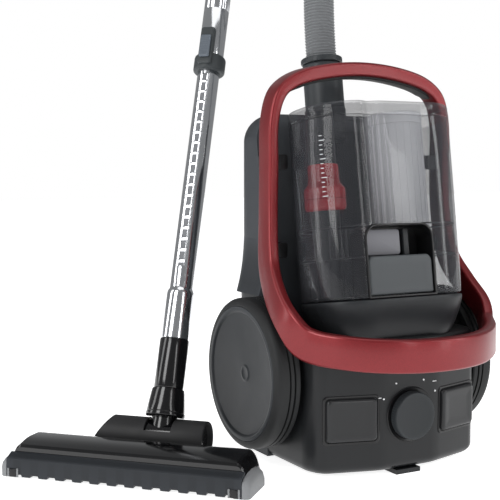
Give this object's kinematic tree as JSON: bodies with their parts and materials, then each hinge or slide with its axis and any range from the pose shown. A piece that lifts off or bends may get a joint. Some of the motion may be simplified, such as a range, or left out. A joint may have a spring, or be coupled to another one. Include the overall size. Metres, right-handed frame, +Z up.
{
  "type": "canister vacuum cleaner",
  "caption": "Upright-parked canister vacuum cleaner with a red ring handle, clear dust container, ribbed hose, telescopic wand and floor nozzle.",
  "frame": {"origin": "middle of the standing foot's flat face, on the floor", "axes": "+Z up as it stands on its foot; -Y towards the control panel; +X to the right of the panel seen from in front"},
  "size_m": [0.8925, 0.7645, 1.0316],
  "materials": {
    "black_shell": "satin gloss",
    "red_frame": "satin metallic lacquer over plastic",
    "smoked_clear": "clear smoked plastic, polished",
    "dark_grip": "fine matte",
    "grey_latch": "fine matte",
    "red_insert": "gloss",
    "grey_mesh": "woven or open-cell",
    "wheel_black": "satin",
    "tyre_black": "matte",
    "steel": "plain",
    "inner_plastic": "as moulded",
    "button_black": "satin gloss",
    "dial_grey": "fine matte",
    "hose_grey": "ribbed",
    "chrome_tube": "polished",
    "gloss_black": "high gloss",
    "charcoal": "satin",
    "skirt_grey": "matte",
    "bristle": "bristles"
  },
  "bodies": {
    "canister": {"base_foot": "black_shell", "front_shell": "black_shell", "rear_hull": "black_shell", "housing_screws": "steel", "seat_deck": "black_shell", "foam_filter": "grey_mesh", "exhaust_grille": "black_shell", "exhaust_filter": "grey_mesh", "cord_outlet": "black_shell", "ring_frame": "red_frame", "wheel_axles": "steel", "motor_can": "steel", "fan_cover": "inner_plastic", "motor_seal": "tyre_black", "reel_axle": "steel", "reel_frame": "inner_plastic", "reel_spring": "steel", "control_board": "inner_plastic", "switch_blocks": "inner_plastic", "hose_inlet": "dark_grip", "hose_cuff": "dark_grip", "hose": "hose_grey", "outer_tube": "chrome_tube", "wand_collar": "dark_grip", "wand_handle": "dark_grip"},
    "left_wheel": {"wheel_left": "wheel_black", "tyre_left": "tyre_black"},
    "right_wheel": {"wheel_right": "wheel_black", "tyre_right": "tyre_black"},
    "caster_yoke": {"caster_fork": "inner_plastic", "caster_axle": "steel"},
    "caster_roller": {"caster_wheel": "tyre_black"},
    "power_key": {"power_button": "button_black"},
    "rewind_key": {"rewind_button": "button_black"},
    "dial": {"suction_dial": "dial_grey"},
    "dust_container": {"dust_cup": "smoked_clear", "cup_lid": "smoked_clear", "cup_grip": "dark_grip", "inlet_duct": "smoked_clear", "cyclone_cone": "red_insert", "mesh_shroud": "grey_mesh"},
    "latch_pad": {"cup_latch": "grey_latch"},
    "swivel": {"swivel_ring": "dark_grip"},
    "rotor": {"motor_rotor": "steel"},
    "cord_drum": {"reel_drum": "inner_plastic"},
    "suction_vent": {"suction_slider": "grey_latch"},
    "tube_lock": {"lock_slider": "grey_latch"},
    "lower_tube": {"inner_tube": "chrome_tube", "wand_sleeve": "gloss_black"},
    "elbow": {"neck_elbow": "dark_grip"},
    "floor_head": {"nozzle_base": "black_shell", "nozzle_cover": "gloss_black", "nozzle_front": "charcoal", "end_skirts": "skirt_grey", "brush_strip": "bristle", "neck_cover": "dark_grip", "roller_axles": "steel"},
    "head_front_rollers": {"front_rollers": "tyre_black"},
    "head_rear_roller": {"rear_roller": "tyre_black"}
  },
  "joints": [
    {"name": "wheel_left_spin", "type": "hinge", "parent": "canister", "child": "left_wheel", "pos_m": [0, -0.006, 0.1035], "axis": [1, 0, 0], "continuous": true},
    {"name": "wheel_right_spin", "type": "hinge", "parent": "canister", "child": "right_wheel", "pos_m": [0, -0.006, 0.1035], "axis": [1, 0, 0], "continuous": true},
    {"name": "caster_swivel", "type": "hinge", "parent": "canister", "child": "caster_yoke", "pos_m": [0, 0.074, 0.3], "axis": [0, 1, 0], "continuous": true},
    {"name": "caster_roll", "type": "hinge", "parent": "caster_yoke", "child": "caster_roller", "pos_m": [0, 0.0625, 0.294], "axis": [1, 0, 0], "continuous": true},
    {"name": "power_press", "type": "slide", "parent": "canister", "child": "power_key", "axis": [0.2673, 0.9636, 0], "range_m": [0, 0.003], "stiffness_N_per_m": 300},
    {"name": "rewind_press", "type": "slide", "parent": "canister", "child": "rewind_key", "axis": [-0.2673, 0.9636, 0], "range_m": [0, 0.003], "stiffness_N_per_m": 300},
    {"name": "dial_turn", "type": "hinge", "parent": "canister", "child": "dial", "pos_m": [0, -0.124, 0.0655], "axis": [0, 1, 0], "range_deg": [-60, 60]},
    {"name": "cup_release", "type": "slide", "parent": "canister", "child": "dust_container", "axis": [0, -0.9893, 0.1461], "range_m": [0, 0.15]},
    {"name": "latch_press", "type": "slide", "parent": "dust_container", "child": "latch_pad", "axis": [0, 0.9893, -0.1461], "range_m": [0, 0.003], "stiffness_N_per_m": 300},
    {"name": "cuff_swivel", "type": "hinge", "parent": "canister", "child": "swivel", "pos_m": [-0.002, 0.046, 0.394], "axis": [0, 0.1478, 0.989], "continuous": true},
    {"name": "rotor_spin", "type": "hinge", "parent": "canister", "child": "rotor", "pos_m": [-0.042, -0.049, 0.03], "axis": [0, 0, 1], "continuous": true},
    {"name": "reel_spin", "type": "hinge", "parent": "canister", "child": "cord_drum", "pos_m": [0.054, -0.018, 0.082], "axis": [1, 0, 0], "continuous": true},
    {"name": "suction_slide", "type": "slide", "parent": "canister", "child": "suction_vent", "axis": [0.6789, 0.6556, 0.3305], "range_m": [0, 0.012]},
    {"name": "lock_slide", "type": "slide", "parent": "canister", "child": "tube_lock", "axis": [0.2543, 0.2455, 0.9354], "range_m": [0, 0.008], "stiffness_N_per_m": 300},
    {"name": "wand_telescope", "type": "slide", "parent": "canister", "child": "lower_tube", "axis": [0.2543, 0.2455, 0.9354], "range_m": [0, 0.027]},
    {"name": "elbow_swivel", "type": "hinge", "parent": "lower_tube", "child": "elbow", "pos_m": [-0.22047, 0.04158, 0.0305], "axis": [0.2543, 0.2455, 0.9354], "range_deg": [-90, 0]},
    {"name": "neck_tilt", "type": "hinge", "parent": "elbow", "child": "floor_head", "pos_m": [-0.22047, 0.04158, 0.0305], "axis": [0.6947, -0.7193, 0], "range_deg": [-20, 35]},
    {"name": "front_rollers_spin", "type": "hinge", "parent": "floor_head", "child": "head_front_rollers", "pos_m": [-0.29506, -0.02211, 0.005], "axis": [0.6947, -0.7193, 0], "continuous": true},
    {"name": "rear_roller_spin", "type": "hinge", "parent": "floor_head", "child": "head_rear_roller", "pos_m": [-0.21709, 0.05319, 0.006], "axis": [0.6947, -0.7193, 0], "continuous": true}
  ]
}
